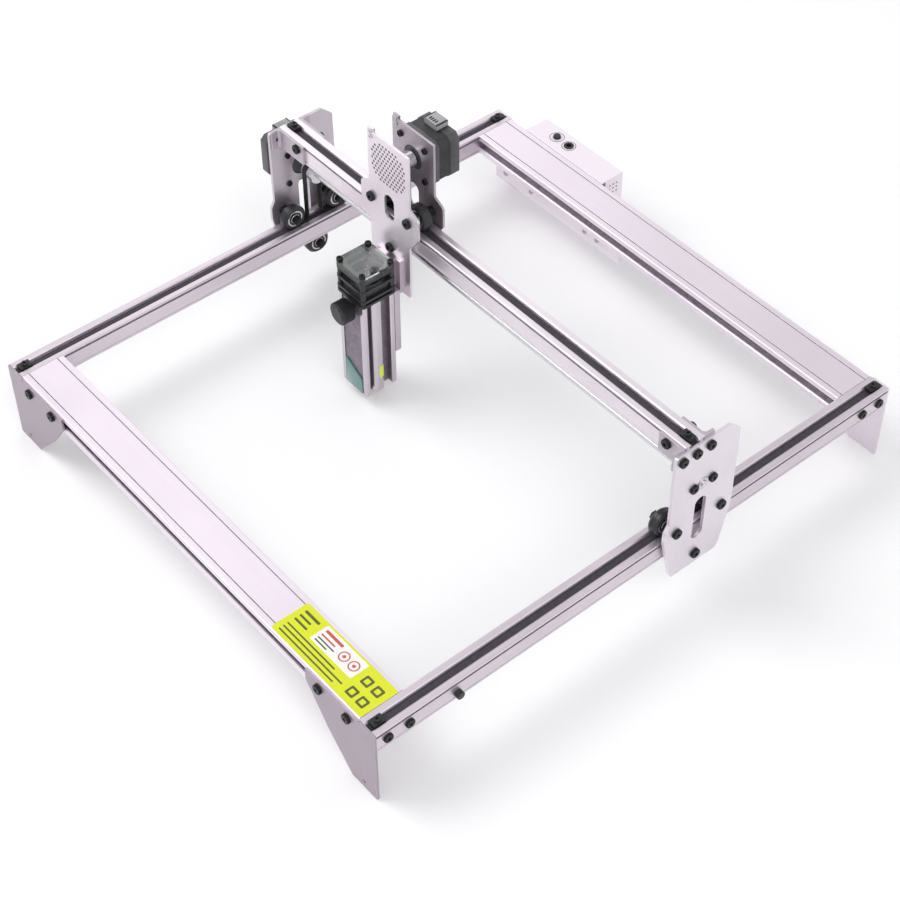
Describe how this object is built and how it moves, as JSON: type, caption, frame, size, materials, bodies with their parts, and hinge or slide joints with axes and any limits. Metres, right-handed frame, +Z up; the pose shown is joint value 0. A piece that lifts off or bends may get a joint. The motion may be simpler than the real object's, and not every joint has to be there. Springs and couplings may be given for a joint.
{
  "type": "desktop laser cutter",
  "caption": "Open-frame desktop laser cutter: slotted profile frame on sheet feet, belt-driven gantry and carriage on grooved wheels, finned laser head on a focusing slide.",
  "frame": {"origin": "centre of the footprint of the whole machine, on the floor under the feet", "axes": "+X along the gantry to the right, +Y along the side rails to the back, +Z up; the gantry and carriage rest where they were shown"},
  "size_m": [0.5382, 0.5718, 0.2615],
  "materials": {
    "anodised_profile": "satin silver anodised",
    "plate_metal": "satin anodised sheet",
    "cast_bracket": "cast",
    "black_steel": "black oxide",
    "bright_steel": "ground",
    "belt_rubber": "matt",
    "wheel_plastic": "turned plastic",
    "clamp_black": "black",
    "motor_dark": "dark grey",
    "box_metal": "satin",
    "board_green": "solder mask",
    "black_plastic": "moulded",
    "label_film": "printed film",
    "head_metal": "satin anodised",
    "lens_glass": "satin",
    "shield_acrylic": "tinted",
    "cover_clear": "frosted"
  },
  "bodies": {
    "frame": {"left_rail": "anodised_profile", "right_rail": "anodised_profile", "front_beam": "anodised_profile", "rear_beam": "anodised_profile", "foot_front_left": "plate_metal", "foot_front_right": "plate_metal", "foot_rear_left": "plate_metal", "foot_rear_right": "plate_metal", "foot_bolts": "black_steel", "beam_bolts": "black_steel", "y_belt_strands": "belt_rubber", "y_belt_clamps": "clamp_black", "travel_stop": "wheel_plastic", "beam_label": "label_film", "control_box": "box_metal", "control_box_lid": "box_metal", "control_board": "board_green", "box_screws": "black_steel", "power_inlet": "black_plastic"},
    "gantry": {"gantry_beam": "anodised_profile", "left_end_plate": "plate_metal", "right_end_plate": "plate_metal", "corner_brackets": "cast_bracket", "gantry_bolts": "black_steel", "y_wheel_axles": "black_steel", "y_motor": "motor_dark", "bearing_block": "cast_bracket", "y_belt_loops": "belt_rubber", "x_belt_strand": "belt_rubber", "x_belt_clamps": "clamp_black"},
    "sync_shaft": {"sync_shaft": "bright_steel", "y_pulleys": "bright_steel"},
    "carriage": {"carriage_front_plate": "plate_metal", "carriage_rear_plate": "plate_metal", "x_wheel_axles": "black_steel", "x_motor": "motor_dark", "carriage_screws": "black_steel", "x_belt_loop": "belt_rubber", "focus_rail": "head_metal"},
    "x_pulley": {"x_pulley": "bright_steel"},
    "laser_head": {"head_body": "head_metal", "focus_shoe": "head_metal", "lens_cell": "lens_glass", "beam_shield": "shield_acrylic", "fan_frame": "black_plastic", "fan_cover": "cover_clear", "head_screws": "black_steel"},
    "fan_rotor": {"fan_rotor": "black_plastic"},
    "focus_knob": {"focus_knob": "black_plastic"},
    "power_button": {"power_button": "black_plastic"},
    "y_wheel_front_left": {"y_wheel_front_left": "wheel_plastic"},
    "y_wheel_rear_left": {"y_wheel_rear_left": "wheel_plastic"},
    "y_wheel_lower_left": {"y_wheel_lower_left": "wheel_plastic"},
    "y_wheel_front_right": {"y_wheel_front_right": "wheel_plastic"},
    "y_wheel_rear_right": {"y_wheel_rear_right": "wheel_plastic"},
    "y_wheel_lower_right": {"y_wheel_lower_right": "wheel_plastic"},
    "x_wheel_left": {"x_wheel_left": "wheel_plastic"},
    "x_wheel_right": {"x_wheel_right": "wheel_plastic"},
    "x_wheel_lower": {"x_wheel_lower": "wheel_plastic"}
  },
  "joints": [
    {"name": "gantry_slide", "type": "slide", "parent": "frame", "child": "gantry", "axis": [0, 1, 0], "range_m": [-0.201, 0.172]},
    {"name": "carriage_slide", "type": "slide", "parent": "gantry", "child": "carriage", "axis": [1, 0, 0], "range_m": [-0.083, 0.279]},
    {"name": "focus_slide", "type": "slide", "parent": "carriage", "child": "laser_head", "axis": [0, 0, 1], "range_m": [-0.005, 0.025]},
    {"name": "sync_shaft_spin", "type": "hinge", "parent": "gantry", "child": "sync_shaft", "pos_m": [0.01335, 0.0316, 0.13], "axis": [1, 0, 0], "range_deg": [-2400, 2400]},
    {"name": "x_pulley_spin", "type": "hinge", "parent": "carriage", "child": "x_pulley", "pos_m": [-0.07915, 0.0204, 0.231], "axis": [0, 1, 0], "range_deg": [-2400, 2400]},
    {"name": "fan_spin", "type": "hinge", "parent": "laser_head", "child": "fan_rotor", "pos_m": [-0.08085, -0.0195, 0.126], "axis": [0, 0, 1], "continuous": true},
    {"name": "focus_knob_turn", "type": "hinge", "parent": "laser_head", "child": "focus_knob", "pos_m": [-0.08115, -0.0451, 0.1055], "axis": [0, 1, 0], "range_deg": [-720, 720]},
    {"name": "power_button_press", "type": "slide", "parent": "frame", "child": "power_button", "axis": [0, 0, 1], "range_m": [-0.0015, 0], "stiffness_N_per_m": 300, "springref_m": 0.0005},
    {"name": "y_wheel_front_left_spin", "type": "hinge", "parent": "gantry", "child": "y_wheel_front_left", "pos_m": [-0.22365, 0.0077, 0.08915], "axis": [1, 0, 0], "range_deg": [-2400, 2400]},
    {"name": "y_wheel_rear_left_spin", "type": "hinge", "parent": "gantry", "child": "y_wheel_rear_left", "pos_m": [-0.22365, 0.0555, 0.08915], "axis": [1, 0, 0], "range_deg": [-2400, 2400]},
    {"name": "y_wheel_lower_left_spin", "type": "hinge", "parent": "gantry", "child": "y_wheel_lower_left", "pos_m": [-0.22365, 0.0316, 0.04885], "axis": [1, 0, 0], "range_deg": [-2400, 2400]},
    {"name": "y_wheel_front_right_spin", "type": "hinge", "parent": "gantry", "child": "y_wheel_front_right", "pos_m": [0.25035, 0.0077, 0.08915], "axis": [1, 0, 0], "range_deg": [-2400, 2400]},
    {"name": "y_wheel_rear_right_spin", "type": "hinge", "parent": "gantry", "child": "y_wheel_rear_right", "pos_m": [0.25035, 0.0555, 0.08915], "axis": [1, 0, 0], "range_deg": [-2400, 2400]},
    {"name": "y_wheel_lower_right_spin", "type": "hinge", "parent": "gantry", "child": "y_wheel_lower_right", "pos_m": [0.25035, 0.0316, 0.04885], "axis": [1, 0, 0], "range_deg": [-2400, 2400]},
    {"name": "x_wheel_left_spin", "type": "hinge", "parent": "carriage", "child": "x_wheel_left", "pos_m": [-0.10265, 0.0204, 0.19015], "axis": [0, 1, 0], "range_deg": [-2400, 2400]},
    {"name": "x_wheel_right_spin", "type": "hinge", "parent": "carriage", "child": "x_wheel_right", "pos_m": [-0.05565, 0.0204, 0.19015], "axis": [0, 1, 0], "range_deg": [-2400, 2400]},
    {"name": "x_wheel_lower_spin", "type": "hinge", "parent": "carriage", "child": "x_wheel_lower", "pos_m": [-0.07915, 0.0204, 0.14985], "axis": [0, 1, 0], "range_deg": [-2400, 2400]}
  ],
  "couplings": [
    {"joint": "y_wheel_front_left_spin", "follows": "gantry_slide", "rad_per_m": -92.593},
    {"joint": "y_wheel_rear_left_spin", "follows": "gantry_slide", "rad_per_m": -92.593},
    {"joint": "y_wheel_lower_left_spin", "follows": "gantry_slide", "rad_per_m": 92.593},
    {"joint": "y_wheel_front_right_spin", "follows": "gantry_slide", "rad_per_m": -92.593},
    {"joint": "y_wheel_rear_right_spin", "follows": "gantry_slide", "rad_per_m": -92.593},
    {"joint": "y_wheel_lower_right_spin", "follows": "gantry_slide", "rad_per_m": 92.593},
    {"joint": "x_wheel_left_spin", "follows": "carriage_slide", "rad_per_m": 92.593},
    {"joint": "x_wheel_right_spin", "follows": "carriage_slide", "rad_per_m": 92.593},
    {"joint": "x_wheel_lower_spin", "follows": "carriage_slide", "rad_per_m": -92.593},
    {"joint": "sync_shaft_spin", "follows": "gantry_slide", "rad_per_m": 133.33},
    {"joint": "x_pulley_spin", "follows": "carriage_slide", "rad_per_m": -133.33}
  ]
}
